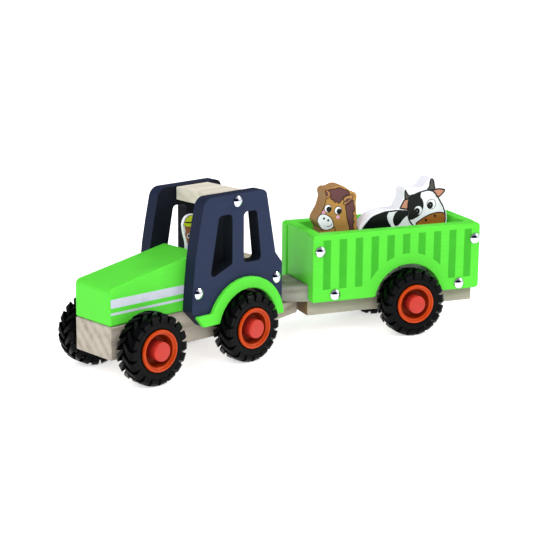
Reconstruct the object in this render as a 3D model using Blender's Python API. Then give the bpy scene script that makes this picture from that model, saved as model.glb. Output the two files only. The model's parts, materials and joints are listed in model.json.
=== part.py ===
"""Toy tractor with a hitched trailer, a driver, a horse and a cow: painted wood on rubber tyres.

Metres, +Z up, +X is the tractor's forward direction, +Y its left side. Inside the model
the tractor's own frame has x = 0 at the front of the bonnet and z = 0 at the floor, and
the trailer's own frame has its origin on the hitch. At the end the whole set is moved so
that the origin is the middle of its box, at floor level.
"""

import math

import bmesh
import bpy
from mathutils import Matrix, Vector

MM = 0.001
GAP = 0.3 * MM  # clearance between pieces that touch

# Stock and fastenings
PANEL_THICK = 10 * MM
CAB_THICK = 11.3 * MM
FLOOR_THICK = 12.7 * MM
FENDER_THICK = 4 * MM
EDGE_ROUND = 0.9 * MM
SCREW_HEAD_RADIUS = 4.65 * MM
SCREW_HEAD_HEIGHT = 2.4 * MM
SCREW_SHANK_RADIUS = 1.7 * MM
SCREW_LENGTH = 22 * MM
SCREW_BITE = SCREW_LENGTH - PANEL_THICK + 0.8 * MM  # depth of its hole past the panel
CUT_HALF = 26 * MM  # cutters start this far out, past the timber

# Wheels
TYRE_RADIUS = 27.5 * MM
TYRE_INNER_FACE = 26.5 * MM  # from the middle plane
TYRE_OUTER_FACE = 46.2 * MM
RIM_RADIUS = 16.2 * MM
RIM_FACE = 47.4 * MM
RIM_BARREL_RADIUS = 14.6 * MM
BOWL_DEPTH = 9.5 * MM
BOSS_RADIUS = 5.6 * MM
BOSS_START = 23.1 * MM
CAP_RADIUS = 7.3 * MM
CAP_FACE = 49.4 * MM
AXLE_RADIUS = 3 * MM
AXLE_HALF = 44.4 * MM
ARCH_RADIUS = 30.7 * MM
CAB_ARCH_RADIUS = 29.7 * MM

# Tractor, measured back from the bonnet's front face
BODY_HALF = 21.5 * MM
CHASSIS_BOTTOM = 19.6 * MM
CHASSIS_TOP = 45 * MM
FRONT_AXLE_X = -26.6 * MM
REAR_AXLE_X = -119.8 * MM
TONGUE_TOP = 31 * MM
TONGUE_START_X = -162 * MM
TONGUE_END_X = -197.5 * MM
TONGUE_END_HALF = 12.4 * MM
BONNET_REAR_X = -85.7 * MM
BONNET_FRONT_TOP = 73.9 * MM
BONNET_REAR_TOP = 89.1 * MM
CAB_REAR_X = -160.8 * MM
CAB_FRONT_BOTTOM = 32.8 * MM
CAB_REAR_BOTTOM = 31.2 * MM
CAB_ARCH_X = -121.9 * MM
FENDER_X = -121.1 * MM
FENDER_RADIUS = 38.9 * MM
ROOF_FRONT_X = -97.9 * MM
ROOF_REAR_X = -130.3 * MM
ROOF_BOTTOM = 121.3 * MM
ROOF_TOP = 131.7 * MM
SEAT_FRONT_X = -148 * MM
SEAT_TOP = 71.8 * MM
DRIVER_THICK = 2.6 * MM
DRIVER_FRONT_X = -89.1 * MM
DRIVER_REAR_X = -104 * MM
DRIVER_SLOT_DEPTH = 3 * MM
CAB_SCREWS = ((-114.0 * MM, 126.1 * MM), (-74.8 * MM, 59.9 * MM), (-154.8 * MM, 59.9 * MM))

# Hitch and trailer, measured back from the hitch peg
HITCH_X = -188.3 * MM
HITCH_YAW = math.radians(-20.55)
PEG_RADIUS = 4 * MM
NOSE_RADIUS = 16 * MM
TRAILER_HALF = 33 * MM
TRAILER_FRONT_X = -15.6 * MM
TRAILER_REAR_X = -167.2 * MM
TRAILER_TOP = 88.5 * MM
TRAILER_SIDE_BOTTOM = 32.9 * MM
TRAILER_AXLE_X = -102.1 * MM
FLOOR_BOTTOM = 31.7 * MM
BEAM_HALF = 21.2 * MM
WALL_THICK = 9 * MM
WALL_RECESS = 1 * MM
TRAILER_SCREWS = (
    (-22.0 * MM, 74.8 * MM),
    (-35.4 * MM, 38.5 * MM),
    (-162.3 * MM, 75.4 * MM),
    (-148.5 * MM, 38.3 * MM),
)
ANIMAL_THICK = 15 * MM
ANIMAL_MIDDLE_Y = 2.5 * MM

ARC_STEP = math.radians(11)


def clear_scene():
    for obj in list(bpy.data.objects):
        bpy.data.objects.remove(obj, do_unlink=True)


def material(name, colour, roughness, metallic=0.0):
    made = bpy.data.materials.new(name)
    made.use_nodes = True
    shader = made.node_tree.nodes["Principled BSDF"]
    shader.inputs["Base Color"].default_value = (*colour, 1.0)
    shader.inputs["Roughness"].default_value = roughness
    shader.inputs["Metallic"].default_value = metallic
    made.diffuse_color = (*colour, 1.0)
    return made


def empty(name, parent=None, location=(0, 0, 0)):
    made = bpy.data.objects.new(name, None)
    bpy.context.scene.collection.objects.link(made)
    made.parent = parent
    made.location = location
    return made


def new_object(name, mesh_maker, parent, finish, location=(0, 0, 0)):
    """An object from a bmesh, shaded smooth across its shallow edges."""
    bmesh.ops.recalc_face_normals(mesh_maker, faces=mesh_maker.faces)
    mesh = bpy.data.meshes.new(name)
    mesh_maker.to_mesh(mesh)
    mesh_maker.free()
    mesh.shade_smooth()
    mesh.set_sharp_from_angle(angle=math.radians(35))
    made = bpy.data.objects.new(name, mesh)
    bpy.context.scene.collection.objects.link(made)
    made.parent = parent
    made.location = location
    if finish is not None:
        mesh.materials.append(finish)
    return made


def cutter(name, mesh_maker, parent, location=(0, 0, 0)):
    made = new_object(name, mesh_maker, parent, None, location)
    made.hide_render = True
    made.display_type = "WIRE"
    return made


def cut(obj, tool):
    modifier = obj.modifiers.new("cut_" + tool.name, "BOOLEAN")
    modifier.operation = "DIFFERENCE"
    modifier.solver = "EXACT"
    modifier.object = tool


def round_edges(obj, width=EDGE_ROUND, segments=2):
    modifier = obj.modifiers.new("rounded_edges", "BEVEL")
    modifier.width = width
    modifier.segments = segments
    modifier.limit_method = "ANGLE"
    modifier.angle_limit = math.radians(40)
    modifier.use_clamp_overlap = True


def arc(centre, radius, start, end):
    """Points on a circle from one angle to another, in degrees."""
    start, end = math.radians(start), math.radians(end)
    count = max(2, math.ceil(abs(end - start) / ARC_STEP))
    return [
        (
            centre[0] + radius * math.cos(start + (end - start) * i / count),
            centre[1] + radius * math.sin(start + (end - start) * i / count),
        )
        for i in range(count + 1)
    ]


def filleted(corners):
    """An outline from (x, y, radius) corners, each rounded by an arc of its radius."""
    points = []
    for i, (x, y, radius) in enumerate(corners):
        here = Vector((x, y))
        if radius <= 0:
            points.append((x, y))
            continue
        before = Vector(corners[i - 1][:2]) - here
        after = Vector(corners[(i + 1) % len(corners)][:2]) - here
        half = before.angle(after) / 2
        reach = radius / math.tan(half)
        start = here + before.normalized() * reach
        end = here + after.normalized() * reach
        centre = here + (before.normalized() + after.normalized()).normalized() * (
            radius / math.sin(half)
        )
        first, last = start - centre, end - centre
        turn = math.atan2(first.x * last.y - first.y * last.x, first.dot(last))
        count = max(2, math.ceil(abs(turn) / ARC_STEP))
        for k in range(count + 1):
            spoke = Matrix.Rotation(turn * k / count, 2) @ first
            points.append(tuple(centre + spoke))
    return points


def mm_corners(*corners):
    return [(x * MM, y * MM, radius * MM) for x, y, radius in corners]


def extruded(outline, low, high, plane):
    """A closed prism: the outline lies in the XZ or XY plane, and low to high run across it."""
    maker = bmesh.new()
    if plane == "XZ":
        ends = [[maker.verts.new((x, across, z)) for x, z in outline] for across in (low, high)]
    else:
        ends = [[maker.verts.new((x, y, across)) for x, y in outline] for across in (low, high)]
    maker.faces.new(ends[0])
    maker.faces.new(ends[1])
    for i in range(len(outline)):
        j = (i + 1) % len(outline)
        maker.faces.new((ends[0][i], ends[0][j], ends[1][j], ends[1][i]))
    return maker


def box(low, high):
    outline = [(low[0], low[2]), (high[0], low[2]), (high[0], high[2]), (low[0], high[2])]
    return extruded(outline, low[1], high[1], "XZ")


def turned(profile, segments, axis="Y"):
    """A body of revolution. The profile holds (radius, distance along the axis) points. It is
    either a closed loop clear of the axis, or a line whose first and last points are on it."""
    maker = bmesh.new()
    rings = []
    for radius, along in profile:
        count = segments if radius > 0 else 1
        ring = []
        for i in range(count):
            angle = 2 * math.pi * i / segments - math.pi / 2
            across, up = radius * math.cos(angle), radius * math.sin(angle)
            place = (across, along, up) if axis == "Y" else (across, up, along)
            ring.append(maker.verts.new(place))
        rings.append(ring)
    pairs = list(zip(rings, rings[1:]))
    if profile[0][0] > 0:
        pairs.append((rings[-1], rings[0]))
    for first, second in pairs:
        for i in range(segments):
            j = (i + 1) % segments
            corners = [first[i % len(first)], first[j % len(first)]]
            corners += [second[j % len(second)], second[i % len(second)]]
            maker.faces.new(list(dict.fromkeys(corners)))
    return maker


def rod(radius, low, high, segments=12, axis="Y"):
    return turned([(0, low), (radius, low), (radius, high), (0, high)], segments, axis)


def drill(obj, name, parent, radius, low, high, location, axis="Y"):
    cut(obj, cutter(name, rod(radius, low, high, 12, axis), parent, location))


# ---------------------------------------------------------------- fasteners and wheels


def screw(name, side, x, z, seat_y, parent, finish):
    """A dome-headed wood screw with its head against the panel's outer face."""
    head = SCREW_HEAD_HEIGHT
    sagitta_radius = (SCREW_HEAD_RADIUS**2 + head**2) / (2 * head)
    spread = math.asin(SCREW_HEAD_RADIUS / sagitta_radius)
    dome = [
        (
            sagitta_radius * math.sin(spread * i / 3),
            head - sagitta_radius * (1 - math.cos(spread * i / 3)),
        )
        for i in range(4)
    ]
    profile = dome + [
        (SCREW_SHANK_RADIUS, 0),
        (SCREW_SHANK_RADIUS, -SCREW_LENGTH + 3 * MM),
        (0, -SCREW_LENGTH),
    ]
    profile = [(radius, side * (along + GAP)) for radius, along in profile]
    profile[0] = (0, profile[0][1])
    return new_object(name, turned(profile, 12), parent, finish, (x, side * seat_y, z))


def screw_holes(obj, name, parent, screws, low, high, bottom=0.0):
    """Clearance holes for the screws on one side, from one distance across to the other."""
    for i, (x, z) in enumerate(screws):
        if z < bottom:
            continue
        drill(obj, f"{name}_{i}", parent, SCREW_SHANK_RADIUS + GAP, low, high, (x, 0, z))


def tyre(name, side, hub, finish):
    inner, outer = TYRE_INNER_FACE, TYRE_OUTER_FACE
    bore = RIM_BARREL_RADIUS + GAP
    profile = [
        (bore, inner + 3 * MM),
        (RIM_RADIUS + 1 * MM, inner + 0.5 * MM),
        (TYRE_RADIUS - 5 * MM, inner),
        (TYRE_RADIUS - 1 * MM, inner + 1.4 * MM),
        (TYRE_RADIUS, inner + 2.7 * MM),
        (TYRE_RADIUS, outer - 2.6 * MM),
        (TYRE_RADIUS - 1 * MM, outer - 1.2 * MM),
        (TYRE_RADIUS - 5 * MM, outer),
        (RIM_RADIUS + 0.6 * MM, outer - 0.2 * MM),
        (bore, outer - 2.4 * MM),
    ]
    profile = [(radius, side * along) for radius, along in profile]
    return new_object(name, turned(profile, 32), hub, finish)


def rim(name, side, hub, finish):
    """A wheel centre: a deep bowl with a rolled lip, and a boss that turns on the axle."""
    face = RIM_FACE
    boss_face = face - BOWL_DEPTH
    profile = [
        (AXLE_RADIUS + GAP, boss_face),
        (11.2 * MM, boss_face),
        (12.6 * MM, face - 1.8 * MM),
        (13.8 * MM, face),
        (RIM_RADIUS, face - 1.2 * MM),
        (RIM_BARREL_RADIUS, face - 3.8 * MM),
        (RIM_BARREL_RADIUS, TYRE_INNER_FACE + 2 * MM),
        (12.6 * MM, TYRE_INNER_FACE + 1 * MM),
        (11.8 * MM, boss_face - 3 * MM),
        (BOSS_RADIUS, boss_face - 3 * MM),
        (BOSS_RADIUS, BOSS_START),
        (AXLE_RADIUS + GAP, BOSS_START),
    ]
    profile = [(radius, side * along) for radius, along in profile]
    return new_object(name, turned(profile, 28), hub, finish)


def hub_cap(name, side, hub, finish):
    bore = AXLE_RADIUS + GAP
    bore_end = AXLE_HALF + GAP
    profile = [
        (0, CAP_FACE),
        (CAP_RADIUS - 1.1 * MM, CAP_FACE),
        (CAP_RADIUS, CAP_FACE - 1.1 * MM),
        (CAP_RADIUS, RIM_FACE - BOWL_DEPTH + GAP),
        (bore, RIM_FACE - BOWL_DEPTH + GAP),
        (bore, bore_end),
        (0, bore_end),
    ]
    profile = [(radius, side * along) for radius, along in profile]
    return new_object(name, turned(profile, 16), hub, finish)


def wheel_pair(name, hub, looks):
    """An axle with a wheel on each end, all turning together about the hub's Y axis."""
    new_object(name + "_axle", rod(AXLE_RADIUS, -AXLE_HALF, AXLE_HALF, 16), hub, looks["steel"])
    for word, side in (("left", 1), ("right", -1)):
        tyre(f"{name}_tyre_{word}", side, hub, looks["rubber"])
        rim(f"{name}_rim_{word}", side, hub, looks["orange"])
        hub_cap(f"{name}_cap_{word}", side, hub, looks["red"])


# ---------------------------------------------------------------- tractor


def chassis(tractor, looks):
    """A beam that ends in a low tapered tongue for the hitch."""
    plan = filleted(
        [
            (0, -BODY_HALF, 0),
            (0, BODY_HALF, 0),
            (TONGUE_START_X + 4 * MM, BODY_HALF, 0),
            (TONGUE_END_X, TONGUE_END_HALF, 1.5 * MM),
            (TONGUE_END_X, -TONGUE_END_HALF, 1.5 * MM),
            (TONGUE_START_X + 4 * MM, -BODY_HALF, 0),
        ]
    )
    made = new_object(
        "chassis", extruded(plan, CHASSIS_BOTTOM, CHASSIS_TOP, "XY"), tractor, looks["wood"]
    )
    step = box(
        (TONGUE_END_X - 5 * MM, -30 * MM, TONGUE_TOP),
        (TONGUE_START_X, 30 * MM, CHASSIS_TOP + 5 * MM),
    )
    cut(made, cutter("chassis_step", step, tractor))
    round_edges(made, 0.7 * MM, 1)
    for i, x in enumerate((FRONT_AXLE_X, REAR_AXLE_X)):
        place = (x, 0, TYRE_RADIUS)
        drill(made, f"axle_bore_{i}", tractor, AXLE_RADIUS + GAP, -CUT_HALF, CUT_HALF, place)
    place = (HITCH_X, 0, 0)
    drill(made, "peg_bore", tractor, PEG_RADIUS + GAP, 10 * MM, 35 * MM, place, "Z")
    slot = box(
        (DRIVER_REAR_X - GAP, -DRIVER_THICK / 2 - GAP, CHASSIS_TOP - DRIVER_SLOT_DEPTH),
        (DRIVER_FRONT_X + GAP, DRIVER_THICK / 2 + GAP, CHASSIS_TOP + 5 * MM),
    )
    cut(made, cutter("driver_slot", slot, tractor))
    return made


def bonnet(tractor, looks):
    """A wedge with a rounded nose, screwed between the cab sides at its rear."""
    bottom = CHASSIS_TOP + GAP
    outline = filleted(
        [
            (0, bottom, 0),
            (0, BONNET_FRONT_TOP, 5 * MM),
            (BONNET_REAR_X, BONNET_REAR_TOP, 0),
            (BONNET_REAR_X, bottom, 0),
        ]
    )
    made = new_object(
        "bonnet", extruded(outline, -BODY_HALF, BODY_HALF, "XZ"), tractor, looks["green"]
    )
    round_edges(made, 1.4 * MM)
    for word, side in (("left", 1), ("right", -1)):
        ends = sorted((side * (BODY_HALF - SCREW_BITE), side * CUT_HALF))
        x, z = CAB_SCREWS[1]
        drill(made, f"bonnet_pilot_{word}", tractor, SCREW_SHANK_RADIUS + GAP, *ends, (x, 0, z))
    return made


def cab_outline():
    """The side view of a cab panel, clockwise from the foot of its bowed front edge."""
    front = mm_corners(
        (-68.0, 46, 3),
        (-69.7, 67, 60),
        (-72.3, 89, 80),
        (-76.0, 108, 80),
        (-81.4, 132.2, 9),
    )
    rear = mm_corners(
        (-143.6, 132.2, 5.5),
        (-153.7, 80.4, 3),
        (-160.8, 71.7, 1.5),
        (-160.8, 31.2, 0.8),
    )
    radius = CAB_ARCH_RADIUS
    arch_front = math.degrees(math.asin((CAB_FRONT_BOTTOM - TYRE_RADIUS) / radius))
    arch_rear = 180 - math.degrees(math.asin((CAB_REAR_BOTTOM - TYRE_RADIUS) / radius))
    arch = arc((CAB_ARCH_X, TYRE_RADIUS), radius, arch_rear, arch_front)
    foot = mm_corners((-80.4, 32.8, 1.5))
    return filleted(front + rear + [(x, z, 0) for x, z in arch] + foot)


def window(name, tractor, corners):
    outline = filleted(mm_corners(*corners))
    return cutter(name, extruded(outline, -45 * MM, 45 * MM, "XZ"), tractor)


def cab_side(word, side, tractor, looks, windows):
    inner = BODY_HALF + GAP
    outer = BODY_HALF + CAB_THICK
    ends = sorted((side * inner, side * outer))
    made = new_object(
        f"cab_side_{word}", extruded(cab_outline(), *ends, "XZ"), tractor, looks["navy"]
    )
    for tool in windows:
        cut(made, tool)
    round_edges(made)
    screw_holes(made, f"cab_hole_{word}", tractor, CAB_SCREWS, *ends_past(ends))
    return made


def ends_past(ends, beyond=1 * MM):
    return ends[0] - beyond, ends[1] + beyond


def fender(word, side, tractor, looks):
    """A flat mudguard glued on the cab panel: an arch with a foot at its front."""
    bottom_front, bottom_rear = 34 * MM, CAB_REAR_BOTTOM
    foot_top = 42.9 * MM
    start = math.degrees(math.asin((foot_top - TYRE_RADIUS) / FENDER_RADIUS))
    end = 180 - math.degrees(math.asin((bottom_rear - TYRE_RADIUS) / FENDER_RADIUS))
    outer = arc((FENDER_X, TYRE_RADIUS), FENDER_RADIUS, start, end)
    low_front = math.degrees(math.asin((bottom_front - TYRE_RADIUS) / CAB_ARCH_RADIUS))
    low_rear = 180 - math.degrees(math.asin((bottom_rear - TYRE_RADIUS) / CAB_ARCH_RADIUS))
    inner = arc((CAB_ARCH_X, TYRE_RADIUS), CAB_ARCH_RADIUS, low_rear, low_front)
    foot = filleted(
        [inner[-1] + (0,), (-76.7 * MM, bottom_front, 1 * MM), (-69.4 * MM, foot_top, 1 * MM)]
        + [outer[0] + (0,)]
    )
    outline = outer[1:] + inner[:-1] + foot
    near = BODY_HALF + CAB_THICK + GAP
    ends = sorted((side * near, side * (near + FENDER_THICK)))
    made = new_object(f"fender_{word}", extruded(outline, *ends, "XZ"), tractor, looks["green"])
    round_edges(made, 0.7 * MM, 1)
    return made


def cross_block(name, low_x, high_x, low_z, high_z, screw_place, tractor, looks):
    """A block of plain wood between the cab sides, screwed at each end."""
    half = BODY_HALF
    made = new_object(
        name, box((low_x, -half, low_z), (high_x, half, high_z)), tractor, looks["wood"]
    )
    round_edges(made)
    for word, side in (("left", 1), ("right", -1)):
        ends = sorted((side * (half - SCREW_BITE), side * CUT_HALF))
        x, z = screw_place
        drill(made, f"{name}_pilot_{word}", tractor, SCREW_SHANK_RADIUS + GAP, *ends, (x, 0, z))
    return made


def driver(tractor, looks):
    """A flat cut-out in profile, facing forward, with its foot glued in a slot."""
    foot = (CHASSIS_TOP - DRIVER_SLOT_DEPTH + GAP) / MM
    outline = filleted(
        mm_corners(
            (-89.1, foot, 0),
            (-89.1, 92, 12),
            (-86.8, 99.5, 12),
            (-85.7, 107.5, 6),
            (-88.6, 113.2, 6),
            (-98, 114.6, 8),
            (-104, 107, 8),
            (-104, foot, 0),
        )
    )
    half = DRIVER_THICK / 2
    made = new_object("driver", extruded(outline, -half, half, "XZ"), tractor, looks["white"])
    round_edges(made, 0.3 * MM, 1)
    return made


def hitch_peg(tractor, looks):
    """A dowel glued in the tongue. It ends just under the drawbar's top, so the trailer lifts off."""
    bottom = CHASSIS_BOTTOM + 0.5 * MM
    top = FLOOR_BOTTOM + FLOOR_THICK - 1 * MM
    profile = [
        (0, bottom),
        (PEG_RADIUS, bottom),
        (PEG_RADIUS, top - 1 * MM),
        (PEG_RADIUS - 1 * MM, top),
        (0, top),
    ]
    return new_object("hitch_peg", turned(profile, 20, "Z"), tractor, looks["wood"], (HITCH_X, 0, 0))


def build_tractor(root, looks):
    tractor = empty("tractor_frame", root)
    chassis(tractor, looks)
    bonnet(tractor, looks)
    windows = [
        window(
            "front_window",
            tractor,
            ((-95.5, 117, 3.7), (-108.7, 117, 3.7), (-108.7, 78.1, 2), (-86.3, 68.9, 3)),
        ),
        window(
            "rear_window",
            tractor,
            ((-120.5, 116.9, 3.7), (-133.8, 116.9, 3.2), (-138.5, 77, 3.2), (-120.5, 77, 3.5)),
        ),
    ]
    for word, side in (("left", 1), ("right", -1)):
        cab_side(word, side, tractor, looks, windows)
        fender(word, side, tractor, looks)
        for place, (x, z) in zip(("top", "front", "rear"), CAB_SCREWS):
            seat = BODY_HALF + CAB_THICK
            screw(f"cab_screw_{place}_{word}", side, x, z, seat, tractor, looks["chrome"])
    cross_block("roof", ROOF_REAR_X, ROOF_FRONT_X, ROOF_BOTTOM, ROOF_TOP, CAB_SCREWS[0], tractor, looks)
    cross_block(
        "seat_back",
        CAB_REAR_X + 0.6 * MM,
        SEAT_FRONT_X,
        CHASSIS_TOP + GAP,
        SEAT_TOP,
        CAB_SCREWS[2],
        tractor,
        looks,
    )
    driver(tractor, looks)
    hitch_peg(tractor, looks)
    for name, x in (("front", FRONT_AXLE_X), ("rear", REAR_AXLE_X)):
        hub = empty(name + "_axle_hub", tractor, (x, 0, TYRE_RADIUS))
        wheel_pair(name, hub, looks)
    return tractor


# ---------------------------------------------------------------- trailer


def trailer_floor(trailer, looks):
    """The floor board, which runs on forward as the drawbar and ends in a round nose."""
    half = TRAILER_HALF - PANEL_THICK - GAP
    lean = math.degrees(math.atan2(half - NOSE_RADIUS, -TRAILER_FRONT_X))
    nose = arc((0, 0), NOSE_RADIUS, -90 + lean, 90 - lean)
    plan = [
        (TRAILER_REAR_X + WALL_RECESS, -half),
        (TRAILER_FRONT_X, -half),
        *nose,
        (TRAILER_FRONT_X, half),
        (TRAILER_REAR_X + WALL_RECESS, half),
    ]
    top = FLOOR_BOTTOM + FLOOR_THICK
    made = new_object(
        "trailer_floor", extruded(plan, FLOOR_BOTTOM, top, "XY"), trailer, looks["wood"]
    )
    round_edges(made, 0.7 * MM, 1)
    drill(made, "drawbar_bore", trailer, PEG_RADIUS + 2 * GAP, 20 * MM, 50 * MM, (0, 0, 0), "Z")
    low = [place for place in TRAILER_SCREWS if place[1] < top]
    for word, side in (("left", 1), ("right", -1)):
        ends = sorted((side * (half - SCREW_BITE), side * CUT_HALF))
        screw_holes(made, f"floor_pilot_{word}", trailer, low, *ends)
    return made


def trailer_beam(trailer, looks):
    """The block under the floor that carries the axle."""
    made = new_object(
        "trailer_beam",
        box(
            (TRAILER_REAR_X, -BEAM_HALF, CHASSIS_BOTTOM),
            (TRAILER_FRONT_X, BEAM_HALF, FLOOR_BOTTOM - GAP),
        ),
        trailer,
        looks["wood"],
    )
    round_edges(made, 0.7 * MM, 1)
    place = (TRAILER_AXLE_X, 0, TYRE_RADIUS)
    drill(made, "beam_bore", trailer, AXLE_RADIUS + GAP, -CUT_HALF, CUT_HALF, place)
    return made


def trailer_side(word, side, trailer, looks):
    bottom = TRAILER_SIDE_BOTTOM
    low = math.degrees(math.asin((bottom - TYRE_RADIUS) / ARCH_RADIUS))
    arch = arc((TRAILER_AXLE_X, TYRE_RADIUS), ARCH_RADIUS, 180 - low, low)
    corner = 3.2 * MM
    outline = filleted(
        [
            (TRAILER_FRONT_X, bottom, corner / 2),
            (TRAILER_FRONT_X, TRAILER_TOP, corner),
            (TRAILER_REAR_X, TRAILER_TOP, corner),
            (TRAILER_REAR_X, bottom, corner),
        ]
        + [(x, z, 0) for x, z in arch]
    )
    ends = sorted((side * (TRAILER_HALF - PANEL_THICK), side * TRAILER_HALF))
    made = new_object(
        f"trailer_side_{word}", extruded(outline, *ends, "XZ"), trailer, looks["green"]
    )
    round_edges(made)
    screw_holes(made, f"side_hole_{word}", trailer, TRAILER_SCREWS, *ends_past(ends))
    return made


def trailer_wall(name, low_x, screw_place, trailer, looks):
    half = TRAILER_HALF - PANEL_THICK - GAP
    bottom = FLOOR_BOTTOM + FLOOR_THICK + GAP
    made = new_object(
        name,
        box((low_x, -half, bottom), (low_x + WALL_THICK, half, TRAILER_TOP)),
        trailer,
        looks["green"],
    )
    round_edges(made)
    for word, side in (("left", 1), ("right", -1)):
        ends = sorted((side * (half - SCREW_BITE), side * CUT_HALF))
        x, z = screw_place
        drill(made, f"{name}_pilot_{word}", trailer, SCREW_SHANK_RADIUS + GAP, *ends, (x, 0, z))
    return made


def animal(name, corners, trailer, finish):
    """A thick cut-out block that stands loose on the trailer's floor."""
    low = ANIMAL_MIDDLE_Y - ANIMAL_THICK / 2
    high = ANIMAL_MIDDLE_Y + ANIMAL_THICK / 2
    outline = filleted(mm_corners(*corners))
    made = new_object(name, extruded(outline, low, high, "XZ"), trailer, finish)
    round_edges(made, 0.5 * MM, 1)
    return made


def build_trailer(root, looks):
    trailer = empty("trailer_frame", root, (HITCH_X, 0, 0))
    trailer.rotation_euler = (0, 0, HITCH_YAW)
    trailer_floor(trailer, looks)
    trailer_beam(trailer, looks)
    front_low = TRAILER_FRONT_X - WALL_RECESS - WALL_THICK
    trailer_wall("trailer_front_wall", front_low, TRAILER_SCREWS[0], trailer, looks)
    rear_low = TRAILER_REAR_X + WALL_RECESS / 2
    trailer_wall("trailer_rear_wall", rear_low, TRAILER_SCREWS[2], trailer, looks)
    for word, side in (("left", 1), ("right", -1)):
        trailer_side(word, side, trailer, looks)
        for place, (x, z) in zip(
            ("front_top", "front_low", "rear_top", "rear_low"), TRAILER_SCREWS
        ):
            name = f"trailer_screw_{place}_{word}"
            screw(name, side, x, z, TRAILER_HALF, trailer, looks["chrome"])
    hub = empty("trailer_axle_hub", trailer, (TRAILER_AXLE_X, 0, TYRE_RADIUS))
    wheel_pair("trailer", hub, looks)
    floor = (FLOOR_BOTTOM + FLOOR_THICK + GAP) / MM
    animal(
        "horse",
        (
            (-32, floor, 2),
            (-32, 88.5, 3),
            (-27.6, 95.5, 5),
            (-33.6, 105.5, 6),
            (-35.9, 113.2, 5),
            (-33.7, 122.7, 3.5),
            (-40.5, 121, 5),
            (-49.5, 124.3, 9),
            (-58.7, 117.8, 4),
            (-64.4, 116, 4),
            (-63.2, 108, 8),
            (-64.4, 95, 8),
            (-64.4, floor, 2),
        ),
        trailer,
        looks["horse"],
    )
    animal(
        "cow",
        (
            (-67, floor, 2),
            (-67, 86.5, 4),
            (-77, 96, 14),
            (-87, 99.5, 14),
            (-102, 99.9, 2),
            (-106.8, 108.5, 6),
            (-106.6, 117.4, 3.2),
            (-123.5, 116, 4),
            (-130.8, 125, 3.2),
            (-136.3, 123.4, 3.6),
            (-138.6, 116.2, 2),
            (-148.4, 115.5, 2),
            (-142.6, 106.2, 1.5),
            (-148, 92, 12),
            (-148, floor, 2),
        ),
        trailer,
        looks["white"],
    )
    return trailer


def centre_on_floor(root):
    """Moves the whole set so that the origin is the middle of its box, at the floor."""
    bpy.context.view_layer.update()
    solids = [obj for obj in bpy.data.objects if obj.type == "MESH" and not obj.hide_render]
    points = [obj.matrix_world @ vertex.co for obj in solids for vertex in obj.data.vertices]
    for axis in range(2):
        values = [point[axis] for point in points]
        root.location[axis] = -(min(values) + max(values)) / 2


def main():
    clear_scene()
    looks = {
        "wood": material("natural_wood", (0.72, 0.58, 0.42), 0.6),
        "green": material("green_paint", (0.10, 0.78, 0.06), 0.3),
        "navy": material("navy_paint", (0.045, 0.06, 0.13), 0.45),
        "rubber": material("tyre_rubber", (0.012, 0.012, 0.014), 0.5),
        "orange": material("orange_plastic", (0.78, 0.12, 0.02), 0.35),
        "red": material("red_plastic", (0.80, 0.07, 0.05), 0.45),
        "chrome": material("screw_chrome", (0.85, 0.85, 0.87), 0.15, 1.0),
        "steel": material("axle_steel", (0.6, 0.6, 0.62), 0.35, 1.0),
        "horse": material("horse_paint", (0.42, 0.22, 0.06), 0.5),
        "white": material("white_paint", (0.82, 0.82, 0.85), 0.45),
    }
    root = empty("set_frame")
    build_tractor(root, looks)
    build_trailer(root, looks)
    centre_on_floor(root)


main()
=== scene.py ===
"""The looks of the toy tractor and its trailer: paint, wood, tyres, printed pictures, light, camera.

Everything is in metres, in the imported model's frame. Outlines are given in two local frames:
the tractor's has x = 0 at the front of the bonnet, the trailer's has its origin on the hitch.
Both have z = 0 on the floor and y = 0 in their middle plane.
"""

import collections
import math

import bmesh
import bpy
from mathutils import Matrix, Vector
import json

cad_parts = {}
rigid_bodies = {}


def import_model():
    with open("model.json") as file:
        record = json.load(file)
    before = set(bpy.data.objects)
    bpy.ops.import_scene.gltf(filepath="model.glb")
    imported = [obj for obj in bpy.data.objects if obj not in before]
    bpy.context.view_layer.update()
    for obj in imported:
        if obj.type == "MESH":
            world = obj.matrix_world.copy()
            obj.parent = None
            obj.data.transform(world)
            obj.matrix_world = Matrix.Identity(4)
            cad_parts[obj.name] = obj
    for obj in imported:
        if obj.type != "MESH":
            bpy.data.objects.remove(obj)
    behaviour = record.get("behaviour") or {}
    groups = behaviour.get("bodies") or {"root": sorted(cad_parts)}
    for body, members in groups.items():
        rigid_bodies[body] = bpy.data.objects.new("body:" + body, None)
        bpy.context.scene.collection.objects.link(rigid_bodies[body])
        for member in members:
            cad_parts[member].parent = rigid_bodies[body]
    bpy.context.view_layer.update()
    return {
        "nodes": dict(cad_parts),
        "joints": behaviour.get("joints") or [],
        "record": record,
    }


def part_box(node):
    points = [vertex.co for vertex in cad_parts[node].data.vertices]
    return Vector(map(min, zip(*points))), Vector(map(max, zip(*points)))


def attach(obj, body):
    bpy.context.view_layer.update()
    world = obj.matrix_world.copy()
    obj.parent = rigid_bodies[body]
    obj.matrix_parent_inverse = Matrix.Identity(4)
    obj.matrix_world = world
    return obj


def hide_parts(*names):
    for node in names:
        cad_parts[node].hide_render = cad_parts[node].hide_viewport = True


MM = 0.001
UNIT = (1, 1, 1)  # no stretch

# Camera, in the tractor's frame
CAMERA_PLACE = (673.55 * MM, 920.65 * MM, 361.78 * MM)
CAMERA_AZIMUTH = 137.32  # degrees
CAMERA_ELEVATION = 13.61
CAMERA_ROLL = 0.38
CAMERA_LENS = 107.0
CAMERA_SENSOR = 36

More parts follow.
